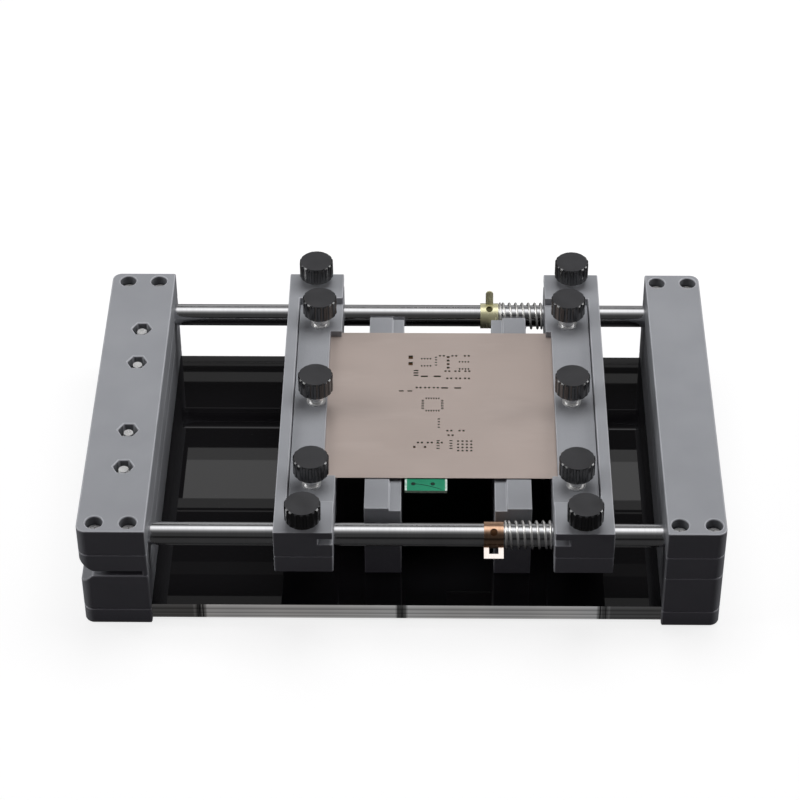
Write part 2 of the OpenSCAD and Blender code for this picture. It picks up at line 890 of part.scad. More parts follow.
// Two end pads of a small part lying along X
module chip_pads(x, y) {
  field(x, y, 2, 1, 2.1, 0, 1.1, 1.3);
}
module stencil() {
  x0 = bar_x(-1, flange_w + 1);
  x1 = x0 + stencil_w;
  n = stem_d + 2;
  color([0.75, 0.74, 0.73])
    difference() {
      translate([x0, stencil_shift - stencil_d / 2, z_floor])
        cube([stencil_w, stencil_d, stencil_t]);
      // Open notches that clear the middle screw of each strip
      translate([x0 - 1, row_y(0) - n / 2, z_floor - 1])
        cube([bar_x(-1, knob_u) - x0 + 1, n, 3]);
      translate([bar_x(1, knob_u), row_y(0) - n / 2, z_floor - 1])
        cube([x1 - bar_x(1, knob_u) + 1, n, 3]);
      drill(bar_x(-1, knob_u), row_y(0), z_floor - 1, z_floor + 2, n);
      drill(bar_x(1, knob_u), row_y(0), z_floor - 1, z_floor + 2, n);
      // Square chip with four rows
      field(0, 0, 6, 2, 1.35, 10, 0.7, 1.4);
      field(0, 0, 2, 6, 10.4, 1.35, 1.4, 0.7);
      // Two small chips with double rows
      field(-3.6, 35, 4, 2, pad_gap, 6, 0.8, 1.3);
      field(17, 32.5, 4, 2, pad_gap, 6, 0.8, 1.3);
      // Coil pads and a connector column
      field(-12, 36.5, 1, 2, 0, 5.4, 2.4, 2.8);
      field(8.4, 35, 1, 4, 0, 3, 1.5, 1.5);
      field(1.8, 36, 1, 4, 0, 2.2, 1.2, 0.8);
      // Long pads
      field(-1, 23.2, 2, 1, 7, 0, 3.8, 1.2);
      field(10, 13.6, 2, 1, 7, 0, 3.6, 1.1);
      field(-14.5, 11, 2, 1, 4.6, 0, 2.6, 1);
      field(-9, 26, 1, 3, 0, 2, 2.6, 1);
      // Pairs for small parts
      for (i = [0:2]) {
        chip_pads(5 + i * 6.8, 40.5);
        chip_pads(8 + i * 5.4, 27.6);
        chip_pads(9 + i * 4.8, 21.6);
        chip_pads(-7.5 + i * 4.6, 13.8);
        chip_pads(-6.5 + i * 5.2, -30.5);
      }
      chip_pads(9, -21);
      chip_pads(15.4, -21);
      chip_pads(9.6, -24.6);
      field(3.4, -15, 1, 4, 0, 2.2, 1.2, 0.8);
      field(-6.6, -34, 2, 1, 5.6, 0, 1.2, 1.6);
      field(3, -32, 1, 4, 0, 2, 1.6, 0.8);
      field(9.8, -32, 1, 4, 0, 2, 1.6, 0.8);
      field(17, -33, 4, 4, 2.3, 2.5, 1.1, 1.1);
    }
}

// Board supports: a rail with a ledge one board thickness below its top
module support(x0, ledge_x) {
  difference() {
    translate([x0, -support_len / 2, foot_t])
      cube([support_w, support_len, z_board - foot_t]);
    translate([ledge_x, -support_len, z_ledge])
      cube([ledge_w + 0.01, 2 * support_len, board_t + 1]);
  }
}
module left_support() {
  color([0.6, 0.62, 0.64]) support(support_l1 - support_w, support_l1 - ledge_w);
}
module right_support() {
  color([0.6, 0.62, 0.64]) support(support_r0, support_r0 - 0.01);
}
module circuit_board() {
  gap = 0.2;
  y0 = -board_front;
  x0 = support_l1 - ledge_w + gap;
  color([0.1, 0.6, 0.45]) {
    translate([x0, y0, z_ledge])
      cube([support_space + 2 * ledge_w - 2 * gap, board_len, board_t]);
    translate([support_l1 + tongue_side, y0 - tongue_len, z_ledge])
      cube([tongue_w, tongue_len + 1, board_t]);
  }
}

base_plate();
left_foot_plate();
right_foot_plate();
left_lower_block();
right_lower_block();
base_screws();
hinge_fixed_leaf_front();
hinge_fixed_leaf_rear();
hinge_pins();
hinge_lower_screws();
left_top_cap();
right_top_cap();
left_rod_seat();
right_rod_seat();
front_rod();
rear_rod();
cap_screws();
hinge_moving_leaf_front();
hinge_moving_leaf_rear();
hinge_upper_screws();
hinge_nuts();
left_bar_upper();
left_bar_lower();
left_bar_nuts();
stencil();
right_bar_upper();
right_bar_lower();
right_bar_nuts();
left_strip();
left_strip_washers();
right_strip();
right_strip_washers();
left_strip_knob_front();
left_strip_knob_mid();
left_strip_knob_rear();
right_strip_knob_front();
right_strip_knob_mid();
right_strip_knob_rear();
left_lock_knob_front();
left_lock_knob_rear();
right_lock_knob_front();
right_lock_knob_rear();
left_strip_screw_front();
left_strip_screw_mid();
left_strip_screw_rear();
right_strip_screw_front();
right_strip_screw_mid();
right_strip_screw_rear();
left_lock_screw_front();
left_lock_screw_rear();
right_lock_screw_front();
right_lock_screw_rear();
front_spring();
rear_spring();
front_band_clamp();
rear_band_clamp();
left_support();
right_support();
circuit_board();
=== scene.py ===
"""Looks of a manual stencil printer: finishes, fine detail, light and camera round its solids."""
import json
import math

import bmesh
import bpy
from mathutils import Matrix, Vector


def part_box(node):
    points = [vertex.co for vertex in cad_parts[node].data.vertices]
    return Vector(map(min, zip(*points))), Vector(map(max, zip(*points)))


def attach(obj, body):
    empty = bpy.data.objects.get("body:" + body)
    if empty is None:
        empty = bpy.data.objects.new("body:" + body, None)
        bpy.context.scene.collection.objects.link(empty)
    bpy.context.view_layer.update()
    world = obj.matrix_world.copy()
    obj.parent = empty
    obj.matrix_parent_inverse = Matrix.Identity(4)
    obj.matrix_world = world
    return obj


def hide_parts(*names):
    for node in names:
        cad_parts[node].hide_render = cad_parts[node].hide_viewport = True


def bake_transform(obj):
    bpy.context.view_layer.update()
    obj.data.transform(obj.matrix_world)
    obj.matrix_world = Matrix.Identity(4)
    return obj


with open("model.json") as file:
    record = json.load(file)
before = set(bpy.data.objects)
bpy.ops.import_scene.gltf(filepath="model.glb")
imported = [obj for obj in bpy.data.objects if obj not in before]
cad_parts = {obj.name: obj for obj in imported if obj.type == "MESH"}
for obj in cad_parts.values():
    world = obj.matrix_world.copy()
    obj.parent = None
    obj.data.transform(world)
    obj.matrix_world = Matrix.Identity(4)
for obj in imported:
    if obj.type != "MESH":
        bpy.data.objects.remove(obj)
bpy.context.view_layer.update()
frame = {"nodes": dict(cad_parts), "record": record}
nodes = frame["nodes"]
frame_slot = {row["node"]: row["material_slot"] for row in frame["record"]["subparts"]}
MM = 0.001

# Camera: fitted to the corners of both end blocks
FOCAL_PX = 2658.0
IMAGE_PX = 800
SENSOR_MM = 36.0
CAMERA_PLACE = Vector((0.0163, -1.0686, 0.9883))
CAMERA_PITCH = math.radians(40.9)
CAMERA_YAW = math.radians(-0.97)
CAMERA_ROLL = math.radians(-0.39)

# Noise seldom leaves this range, so tones and roughness are spread over it
NOISE_LOW = 0.3
NOISE_HIGH = 0.7
# Scale of the fine grain of the grey plastic
PLASTIC_GRAIN = 2600

# Front edge of the base plate: spacing and reach of its dark breaks, which are painted shade
EDGE_SHADE_BREAK = 104 * MM
EDGE_SHADE_REACH = 4 * MM
# Painted glow of the sheet's front edge, standing in for light piped out of its clear-cut edge
EDGE_PAINTED_GLOW = 0.66

# Painted highlight on the ear of a band clamp, away from the rod, and the width of the change
EAR_HIGHLIGHT_LIGHT = (0.88, 0.82, 0.78)
EAR_HIGHLIGHT_DARK = (0.78, 0.70, 0.65)
EAR_HIGHLIGHT_BLEND = 0.5 * MM
# Thickness of a band clamp with its fit on the rod, and the margin beyond it, past which the painted
# highlight starts
BAND = 1.05 * MM
BAND_MARGIN = 0.1 * MM

# A face is a wall if its normal rises less than this; the walls of a thin sheet are stricter
WALL_RISE = 0.5
SHEET_WALL_RISE = 0.1
# A wall of a cap belongs to a recess, painted in shade, if a point this far in front of it is still within
# the cap
RECESS_LOOK = 4 * MM
# Corners closer than this are one, and points this close to an end of a solid belong to that end
WELD = 0.002 * MM
END_REACH = 0.01 * MM

# Widths in millimetres of the rounded edges of the solids, by the start of the node's name
EDGE_ROUND = {
    "left_foot": 0.8, "right_foot": 0.8, "left_lower": 0.8, "right_lower": 0.8, "left_top": 0.7,
    "right_top": 0.7, "left_rod": 0.7, "right_rod": 0.7, "left_bar_u": 0.5, "left_bar_l": 0.7,
    "right_bar_u": 0.5, "right_bar_l": 0.7, "left_strip": 0.35, "right_strip": 0.35, "left_support": 0.5,
    "right_support": 0.5, "base_plate": 0.25}
OTHER_ROUND = 0.3
ROUND_STEPS = 2
# Faces within the first angle count as one flat face, and edges above the second one are rounded
FLAT_ANGLE = math.radians(0.5)
SHARP_ANGLE = math.radians(35)
NORMAL_WEIGHT = 80

# Springs: turns, points in a turn, wire, points round the wire, and how close the end coils lie
SPRING_TURNS = 8
SPRING_STEPS = 36
SPRING_WIRE = 1.25 * MM
SPRING_SIDES = 12
CLOSED_SHARE = 0.12
CLOSED_PITCH = 0.45

# Holes in the band clamps: lean towards the front from straight up in degrees, and radius
HOLE_LEAN = {"front": 35, "rear": 18}
HOLE_RADIUS = 1.85 * MM
# Dark sheet below the hole of a band, painted shade for the hole: distance from the rod, thickness, rings
# and points round each
SHADE_GAP = 0.1 * MM
SHADE_THICK = 0.3 * MM
SHADE_RINGS = 3
SHADE_SIDES = 20

# Apertures of the stencil are smaller than this
APERTURE_MAX = 6 * MM
# Copper on the board: thickness of pads and tracks, and width and length of a track
COPPER = 0.035 * MM
TRACK_THICK = COPPER * 0.8
TRACK = 0.3 * MM
TRACK_RUN = 2.6 * MM
# One pad in this many has a track; it runs left from pads left of the middle by this part of the width
TRACK_EVERY = 3
TRACK_PART = 6
VIA_RADIUS = TRACK * 1.5
VIA_HOLE = TRACK * 0.6
RING_SIDES = 24

# Tongue of the board: border, shoulder beside it, and places of its two holes and the track between
BORDER = 1.1 * MM
SHOULDER = 1 * MM
TONGUE_HOLES = (0.20, 0.66)
TONGUE_HOLE_Y = 5.2 * MM
TONGUE_RING = 1.2 * MM
TONGUE_BORE = 0.2 * MM
TRACK_BEND = 0.25
TRACK_END = 0.86
TRACK_STEPS = 8
TRACK_SIDES = 8

# Threads of the hinge screws, and the spacing in millimetres that tells the screws apart
THREAD_PITCH = 0.8 * MM
THREAD_WIRE = 0.3 * MM
THREAD_TURNS = 4
THREAD_STEPS = 20
THREAD_SIDES = 8
SCREW_ROW = 8

# Soft boxes at one height behind the printer: x0, x1, y0, y1 in metres and strength
PANEL_HEIGHT = 1.0
PANELS = [
    (-0.256, 0.244, 1.039, 1.101, 1.10), (-0.256, 0.244, 1.101, 1.121, 0.65),
    (-0.28, 0.262, 1.024, 1.039, 0.45), (-0.28, 0.262, 1.018, 1.020, 0.40),
    (-0.30, 0.28, 1.234, 1.251, 0.42), (-0.30, 0.28, 1.262, 1.267, 0.35),
    (-0.30, 0.28, 1.268, 1.269, 0.60), (-0.30, 0.28, 1.270, 1.290, 0.40),
    (-0.30, 0.28, 0.922, 0.941, 0.10), (-0.30, 0.28, 0.876, 0.890, 0.30)]
# Large soft box above
KEY_WIDTH = 0.8
KEY_DEPTH = 0.75
KEY_PLACE = (0.10, 0.30, 1.10)
KEY_TARGET = (0.0, 0.0, 0.05)
KEY_POWER = 8.0
# Weak soft boxes at the sides: place and power
SIDE_SIZE = 0.8
SIDES = [((-1.2, 0.02, 0.85), 8.0), ((1.4, 0.25, 0.75), 9.0)]
FILL_STRENGTH = 0.060
FILL_COLOUR = (1.0, 0.90, 1.06)
# What the floor shows to the camera, and more faintly to mirrors, and the greys that take shadow
FLOOR_HALF = 6.0
FLOOR_DROP = 0.3 * MM
FLOOR_SEEN = 0.80
FLOOR_MIRRORED = 0.01
FLOOR_GREY = (0.25, 0.04)
FLOOR_BOUNCE = 0.04
# Brightness of the studio for mirrors, by degrees from the front horizon over the top to the rear one
STUDIO_PEAK = 1.35
STUDIO_ARC = [
    (0, 0.014), (12, 0.014), (18, 0.045), (45, 0.05), (58, 0.12), (68, 0.24), (78, 0.55), (88, 1.05),
    (98, 1.35), (108, 1.3), (118, 0.8), (124, 0.35), (130, 0.10), (134, 0.05), (144, 0.05), (150, 0.30),
    (165, 0.45), (180, 0.35)]
STUDIO_SIDES = [(0.0, 1.0), (0.45, 1.0), (0.9, 0.06)]


def make_camera():
    """Camera at the photograph's viewing angle."""
    cp, sp = math.cos(CAMERA_PITCH), math.sin(CAMERA_PITCH)
    cy, sy = math.cos(CAMERA_YAW), math.sin(CAMERA_YAW)
    cr, sr = math.cos(CAMERA_ROLL), math.sin(CAMERA_ROLL)
    forward = Vector((sy * cp, cy * cp, -sp))
    right = Vector((cy, -sy, 0))
    up = right.cross(forward)
    right, up = right * cr + up * sr, up * cr - right * sr
    data = bpy.data.cameras.new("camera")
    data.sensor_width = SENSOR_MM
    data.lens = FOCAL_PX / IMAGE_PX * SENSOR_MM
    camera = bpy.data.objects.new("camera", data)
    camera.matrix_world = Matrix((
        (right.x, up.x, -forward.x, CAMERA_PLACE.x),
        (right.y, up.y, -forward.y, CAMERA_PLACE.y),
        (right.z, up.z, -forward.z, CAMERA_PLACE.z),
        (0, 0, 0, 1)))
    bpy.context.scene.collection.objects.link(camera)
    bpy.context.scene.camera = camera


class Nodes:
    """A node tree under construction, with short calls for its commonest nodes."""

    def __init__(self, block):
        block.use_nodes = True
        self.tree = block.node_tree
        self.tree.nodes.clear()

    def node(self, kind):
        return self.tree.nodes.new(kind)

    def link(self, source, target):
        self.tree.links.new(source, target)

    def ramp(self, value, stops):
        """Colour or grey by value; stops are (place, grey) or (place, (r, g, b))."""
        ramp = self.node("ShaderNodeValToRGB")
        band = ramp.color_ramp
        while len(band.elements) < len(stops):
            band.elements.new(0.5)
        for element, (place, tone) in zip(band.elements, stops):
            element.position = place
            rgb = tone if isinstance(tone, tuple) else (tone,) * 3
            element.color = (*rgb, 1.0)
        self.link(value, ramp.inputs["Fac"])
        return ramp.outputs["Color"]

    def math(self, operation, *values):
        """Result of a sum; values are sockets or plain numbers."""
        node = self.node("ShaderNodeMath")
        node.operation = operation
        for socket, value in zip(node.inputs, values):
            if isinstance(value, bpy.types.NodeSocket):
                self.link(value, socket)
            else:
                socket.default_value = value
        return node.outputs[0]

    def mix(self, share, first, second, how="MIX"):
        """Two colours mixed; each value is a socket, a colour or a plain number."""
        mixer = self.node("ShaderNodeMix")
        mixer.data_type = "RGBA"
        mixer.blend_type = how
        for socket, value in ((mixer.inputs[0], share), (mixer.inputs[6], first), (mixer.inputs[7], second)):
            if isinstance(value, bpy.types.NodeSocket):
                self.link(value, socket)
            elif isinstance(value, tuple):
                socket.default_value = (*value, 1.0)
            else:
                socket.default_value = value
        return mixer.outputs[2]

    def emission(self, strength):
        glow = self.node("ShaderNodeEmission")
        glow.inputs["Strength"].default_value = strength
        return glow.outputs["Emission"]

    def diffuse(self, grey):
        lit = self.node("ShaderNodeBsdfDiffuse")
        lit.inputs["Color"].default_value = (grey, grey, grey, 1)
        return lit.outputs["BSDF"]

    def background(self, strength):
        """Background node of that strength, white until it is given a colour."""
        node = self.node("ShaderNodeBackground")
        node.inputs["Strength"].default_value = strength
        return node

    def output(self, kind, surface):
        self.link(surface, self.node(kind).inputs["Surface"])

    def by_ray(self, seen, mirrored, unseen):
        """Shader that shows seen to the camera, mirrored to metal and glass, and unseen to the rest."""
        path = self.node("ShaderNodeLightPath")
        shown = unseen
        kinds = (("Is Glossy Ray", mirrored), ("Is Transmission Ray", mirrored), ("Is Camera Ray", seen))
        for kind, shader in kinds:
            mixer = self.node("ShaderNodeMixShader")
            self.link(path.outputs[kind], mixer.inputs["Fac"])
            self.link(shown, mixer.inputs[1])
            self.link(shader, mixer.inputs[2])
            shown = mixer.outputs["Shader"]
        return shown


class Shader(Nodes):
    """A material under construction, with short calls for its texture nodes."""

    def __init__(self, name, **values):
        self.material = bpy.data.materials.new(name)
        super().__init__(self.material)
        self.surface = self.node("ShaderNodeBsdfPrincipled")
        self.output("ShaderNodeOutputMaterial", self.surface.outputs["BSDF"])
        coordinates = self.node("ShaderNodeTexCoord")
        self.place = coordinates.outputs["Object"]
        self.facing = coordinates.outputs["Normal"]
        for key, value in values.items():
            self.surface.inputs[key.replace("_", " ")].default_value = value

    def stretched(self, stretch):
        """The place on the object, scaled along each axis."""
        mapping = self.node("ShaderNodeMapping")
        mapping.inputs["Scale"].default_value = stretch
        self.link(self.place, mapping.inputs["Vector"])
        return mapping.outputs["Vector"]

    def noise(self, scale, detail=3.0, stretch=(1, 1, 1)):
        texture = self.node("ShaderNodeTexNoise")
        texture.inputs["Scale"].default_value = scale
        texture.inputs["Detail"].default_value = detail
        self.link(self.stretched(stretch), texture.inputs["Vector"])
        return texture.outputs["Fac"]

    def specks(self, scale, size):
        """1 on scattered small round spots and 0 elsewhere."""
        texture = self.node("ShaderNodeTexVoronoi")
        texture.inputs["Scale"].default_value = scale
        self.link(self.place, texture.inputs["Vector"])
        return self.ramp(texture.outputs["Distance"], [(0.0, 1.0), (size, 1.0), (size * 1.6, 0.0)])

    def axis(self, name, vector=None):
        """One part of the place on the object, or of another vector."""
        split = self.node("ShaderNodeSeparateXYZ")
        self.link(vector or self.place, split.inputs["Vector"])
        return split.outputs[name]

    def level(self):
        """1 on the level faces of the object and 0 on its walls."""
        return self.ramp(self.math("ABSOLUTE", self.axis("Z", self.facing)), [(0.6, 0.0), (0.9, 1.0)])

    def span(self, value, low, high, to_low=0.0, to_high=1.0):
        """Value from low to high, as a number from to_low to to_high."""
        mapped = self.node("ShaderNodeMapRange")
        settings = (("From Min", low), ("From Max", high), ("To Min", to_low), ("To Max", to_high))
        for key, number in settings:
            mapped.inputs[key].default_value = number
        self.link(value, mapped.inputs["Value"])
        return mapped.outputs["Result"]

    def tones(self, noise, dark, light):
        """Colour from dark to light by a noise."""
        return self.ramp(noise, [(NOISE_LOW, dark), (NOISE_HIGH, light)])

    def gloss(self, noise, low, high):
        """Roughness from low to high by a noise."""
        return self.span(noise, NOISE_LOW, NOISE_HIGH, low, high)

    def bump(self, height, depth, strength):
        """Relief of that depth in metres, on top of any relief before it."""
        bump = self.node("ShaderNodeBump")
        bump.inputs["Strength"].default_value = strength
        bump.inputs["Distance"].default_value = depth
        self.link(height, bump.inputs["Height"])
        normal = self.surface.inputs["Normal"]
        if normal.is_linked:
            self.link(normal.links[0].from_socket, bump.inputs["Normal"])
        self.link(bump.outputs["Normal"], normal)

    def set(self, socket, value):
        self.link(value, self.surface.inputs[socket])


def grey_plastic():
    """Satin mid-grey plastic with a faint mottle, fine grain and rub streaks."""
    shader = Shader("grey_plastic", Specular_IOR_Level=0.35)
    mottle = shader.noise(38, 4)
    grain = shader.noise(PLASTIC_GRAIN, 2)
    streaks = shader.noise(90, 3, (1, 0.12, 1))
    tone = shader.tones(mottle, (0.272, 0.281, 0.300), (0.316, 0.325, 0.345))
    grained = shader.tones(grain, (0.25, 0.257, 0.272), (0.36, 0.367, 0.39))
    shader.set("Base Color", shader.mix(0.35, tone, grained))
    shader.set("Roughness", shader.gloss(streaks, 0.42, 0.58))
    shader.bump(mottle, 0.05 * MM, 0.3)
    shader.bump(grain, 0.03 * MM, 0.5)
    return shader.material


def edge_highlight():
    """Edges of the grey plastic, painted paler than its faces as a highlight, unevenly along their length.
    """
    shader = Shader("edge_highlight", Specular_IOR_Level=0.5)
    highlight_patches = shader.noise(70, 3)
    grain = shader.noise(PLASTIC_GRAIN, 2)
    shader.set("Base Color", shader.tones(highlight_patches, (0.38, 0.39, 0.41), (0.47, 0.48, 0.51)))
    shader.set("Roughness", shader.gloss(highlight_patches, 0.34, 0.46))
    shader.bump(grain, 0.02 * MM, 0.4)
    return shader.material


def recess_painted_shade():
    """Drilled walls in the grey plastic, painted darker than its faces as shade, duller, with fine tool
    rings.
    """
    shader = Shader("recess_painted_shade", Specular_IOR_Level=0.25)
    rings = shader.noise(1200, 3, (0.15, 0.15, 1))
    grain = shader.noise(PLASTIC_GRAIN, 2)
    shader.set("Base Color", shader.tones(rings, (0.140, 0.145, 0.155), (0.180, 0.186, 0.198)))
    shader.set("Roughness", shader.gloss(rings, 0.52, 0.66))
    shader.bump(grain, 0.03 * MM, 0.5)
    return shader.material


def black_grip():
    """Black moulded knob: grained satin on top, painted a little lighter as a sheen, and glossier flutes."""
    shader = Shader("black_grip", Specular_IOR_Level=1.0)
    grain = shader.noise(3200, 2)
    cloud = shader.noise(120, 3)
    top = shader.level()
    flutes = shader.tones(cloud, (0.012, 0.012, 0.013), (0.018, 0.018, 0.020))
    face = shader.tones(cloud, (0.016, 0.016, 0.018), (0.023, 0.023, 0.026))
    # Painted sheen: the level top is a lighter tone than the flutes
    shader.set("Base Color", shader.mix(top, flutes, face))
    gloss = shader.gloss(cloud, 0.14, 0.20)
    shader.set("Roughness", shader.math("MULTIPLY_ADD", top, 0.20, gloss))
    shader.bump(grain, 0.03 * MM, 0.5)
    return shader.material


def black_acrylic():
    """Mirror-glossy black sheet with stray dust."""
    shader = Shader("black_acrylic", IOR=1.49)
    dust = shader.specks(260, 0.03)
    patchy = shader.ramp(shader.noise(22, 2), [(0.5, 0.0), (0.62, 1.0)])
    dust = shader.mix(1.0, dust, patchy, "MULTIPLY")
    shader.set("Base Color", shader.mix(dust, (0.0065, 0.006, 0.007), (0.10, 0.10, 0.10)))
    wipe = shader.noise(14, 4, (1, 3, 1))
    shader.set("Roughness", shader.span(wipe, 0.35, 0.75, 0.004, 0.016))
    shader.bump(shader.noise(6, 1), 0.05 * MM, 0.15)
    return shader.material


def painted_edge_light(low, high):
    """Front edge of the sheet: painted light of glow and bright lines, painted shade of three breaks and dim
    ends.
    """
    shader = Shader("painted_edge_light", Roughness=0.12, Emission_Strength=EDGE_PAINTED_GLOW)
    # Painted light: bright lines along the edge, which also glows by emission
    height = shader.span(shader.axis("Z"), low, high)
    lines = shader.ramp(height, [
        (0.0, 0.42), (0.10, 0.46), (0.16, 0.20), (0.22, 0.38), (0.32, 0.42), (0.38, 0.18),
        (0.44, 0.34), (0.60, 0.40), (0.66, 0.20), (0.72, 0.26), (0.86, 0.44), (1.0, 0.5)])
    drift = shader.tones(shader.noise(9, 3, (1, 0.1, 0.1)), 0.62, 1.0)
    warm = shader.mix(shader.noise(14, 2, (1, 0.1, 0.1)), (1.0, 0.94, 0.88), (0.94, 0.97, 1.0))
    tone = shader.mix(1.0, lines, drift, "MULTIPLY")
    tone = shader.mix(1.0, tone, warm, "MULTIPLY")
    # Painted shade: dark breaks with faint streaks at even spacing, and dimmer ends beyond the outer breaks
    along = shader.axis("X")
    from_break = shader.math("ABSOLUTE", shader.math("WRAP", along, EDGE_SHADE_BREAK / 2, -EDGE_SHADE_BREAK / 2))
    streaks = shader.ramp(shader.noise(1500, 1, (1, 0.01, 0.01)), [(0.35, 0.02), (0.65, 0.3)])
    clear = shader.ramp(shader.span(from_break, 0, EDGE_SHADE_REACH), [(0.0, 0.0), (0.5, 0.0), (0.85, 1.0)])
    tone = shader.mix(1.0, tone, shader.mix(clear, streaks, (1.0, 1.0, 1.0)), "MULTIPLY")
    aside = shader.math("ABSOLUTE", along)
    beyond = shader.span(aside, EDGE_SHADE_BREAK, EDGE_SHADE_BREAK + EDGE_SHADE_REACH)
    tone = shader.mix(1.0, tone, shader.ramp(beyond, [(0.0, 1.0), (1.0, 0.19)]), "MULTIPLY")
    shader.set("Base Color", tone)
    shader.set("Emission Color", tone)
    shader.bump(shader.noise(700, 2, (0.02, 1, 1)), 0.02 * MM, 0.4)
    return shader.material


def metal(name, light, dark, rough, lines=(1, 1, 1), line_scale=900, relief=0.01, metallic=1.0, wear_and_highlight=None):
    """Bare metal with fine lines; a small number in lines draws them out along that axis.

    relief is in millimetres. The last argument gives the Y and Z of an axis and a distance from it, beyond
    which a pale painted highlight replaces the metal's tone.
    """
    shader = Shader(name, Metallic=metallic)
    draw = shader.noise(line_scale, 3, lines)
    cloud = shader.noise(60, 3)
    tone = shader.mix(0.5, shader.tones(draw, dark, light), shader.tones(cloud, dark, light))
    if wear_and_highlight:
        y, z, reach = wear_and_highlight
        away = [shader.math("SUBTRACT", shader.axis("Y"), y), shader.math("SUBTRACT", shader.axis("Z"), z)]
        squares = [shader.math("MULTIPLY", distance, distance) for distance in away]
        off = shader.math("SQRT", shader.math("ADD", *squares))
        # Painted highlight: beyond the band's reach the ear takes a pale tone
        ear_highlight = shader.tones(draw, EAR_HIGHLIGHT_DARK, EAR_HIGHLIGHT_LIGHT)
        tone = shader.mix(shader.span(off, reach, reach + EAR_HIGHLIGHT_BLEND), tone, ear_highlight)
    shader.set("Base Color", tone)
    shader.set("Roughness", shader.gloss(draw, rough * 0.8, rough * 1.25))
    shader.bump(draw, relief * MM, 0.4)
    return shader.material


def stencil_steel():
    """Brushed steel sheet with fine lines along X and a few faint rub marks, with a warm pinkish cast of
    painted reflection.
    """
    shader = Shader("stencil_steel", Metallic=0.45)
    brushed = shader.noise(1500, 3, (0.03, 1, 1))
    cloud = shader.noise(16, 3)
    rubs = shader.ramp(shader.noise(40, 5, (0.3, 1, 1)), [(0.55, 0.0), (0.75, 1.0)])
    # Painted reflection: a warm pinkish cast in the steel's grey tones
    tone = shader.tones(cloud, (0.520, 0.441, 0.402), (0.577, 0.494, 0.454))
    tone = shader.mix(0.14, tone, shader.tones(brushed, (0.45, 0.38, 0.35), (0.61, 0.53, 0.48)))
    shader.set("Base Color", shader.mix(0.12, tone, rubs, "SOFT_LIGHT"))
    shader.set("Roughness", shader.gloss(brushed, 0.42, 0.56))
    shader.bump(brushed, 0.008 * MM, 0.4)
    return shader.material


def solder_resist():
    """Glossy green resist with a faint weave of the glass cloth below."""
    shader = Shader("solder_resist", Specular_IOR_Level=0.35)
    weave = shader.noise(1100, 1)
    cloud = shader.noise(70, 3)
    shader.set("Base Color", shader.tones(cloud, (0.014, 0.20, 0.105), (0.024, 0.27, 0.145)))
    shader.set("Roughness", shader.gloss(weave, 0.28, 0.4))
    shader.bump(weave, 0.02 * MM, 0.3)
    return shader.material


def board_edge():
    """Pale sawn edge of the glass-fibre board."""
    shader = Shader("board_edge", Roughness=0.6)
    fibre = shader.noise(1400, 3, (1, 1, 0.2))
    shader.set("Base Color", shader.tones(fibre, (0.36, 0.48, 0.36), (0.55, 0.66, 0.52)))
    shader.bump(fibre, 0.05 * MM, 0.5)
    return shader.material


def shaded_copper():
    """Dark copper of the board's pads and tracks: painted shade that keeps the apertures above it dark."""
    return metal("shaded_copper", (0.30, 0.17, 0.09), (0.14, 0.075, 0.04), 0.42, line_scale=1600, relief=0.02)


def masked_copper():
    """Marks under the resist: a dark green, a little uneven."""
    shader = Shader("masked_copper", Roughness=0.4)
    uneven = shader.noise(1200, 3)
    shader.set("Base Color", shader.tones(uneven, (0.001, 0.008, 0.005), (0.002, 0.018, 0.011)))
    shader.bump(uneven, 0.01 * MM, 0.4)
    return shader.material


def board_print():
    """Pale printed border, thinned by wear in places."""
    shader = Shader("board_print", Roughness=0.55)
    wear_and_highlight = shader.noise(900, 4)
    shader.set("Base Color", shader.ramp(wear_and_highlight, [(0.35, (0.30, 0.52, 0.42)), (0.6, (0.66, 0.74, 0.70))]))
    shader.bump(wear_and_highlight, 0.01 * MM, 0.5)
    return shader.material


plate_low, plate_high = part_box("base_plate")
rod_low, rod_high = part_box("front_rod")
rod_axis = (rod_low + rod_high) / 2
rod_radius = (rod_high.z - rod_low.z) / 2
finishes = {
    "grey_plastic": grey_plastic(),
    "black_grip": black_grip(),
    "black_acrylic": black_acrylic(),
    "rod_chrome": metal("rod_chrome", (0.76, 0.76, 0.77), (0.64, 0.64, 0.66), 0.10,
                        lines=(1, 0.05, 0.05), line_scale=2400, relief=0.004),
    "bright_steel": metal("bright_steel", (0.86, 0.86, 0.85), (0.72, 0.72, 0.72), 0.28,
                          lines=(0.15, 0.15, 1), line_scale=1800, relief=0.005, metallic=0.5),
    "hinge_steel": metal("hinge_steel", (0.60, 0.60, 0.60), (0.42, 0.42, 0.42), 0.34, lines=(1, 0.05, 1)),
    "spring_steel": metal("spring_steel", (0.89, 0.88, 0.86), (0.76, 0.75, 0.73), 0.22,
                          lines=(0.3, 1, 1), line_scale=1200, relief=0.005, metallic=0.7),
    "copper_band": metal("copper_band", (0.86, 0.56, 0.39), (0.60, 0.35, 0.22), 0.17,
                         lines=(1, 0.2, 0.2), relief=0.006,
                         wear_and_highlight=(rod_axis.y, rod_axis.z, rod_radius + BAND + BAND_MARGIN)),
    "zinc_band": metal("zinc_band", (1.0, 0.97, 0.66), (0.88, 0.85, 0.52), 0.24,
                       lines=(1, 0.2, 0.2), relief=0.006, metallic=0.65),
    "stencil_steel": stencil_steel(),
    "board_green": solder_resist(),
}
edge_light_finish = painted_edge_light(plate_low.z, plate_high.z)
edge_highlight_finish = edge_highlight()
recess_shade_finish = recess_painted_shade()
rim_finish = board_edge()
# Painted shade: the pads and tracks are dark so the stencil's apertures read dark
pad_shade_finish = shaded_copper()
print_finish = board_print()
mark_finish = masked_copper()
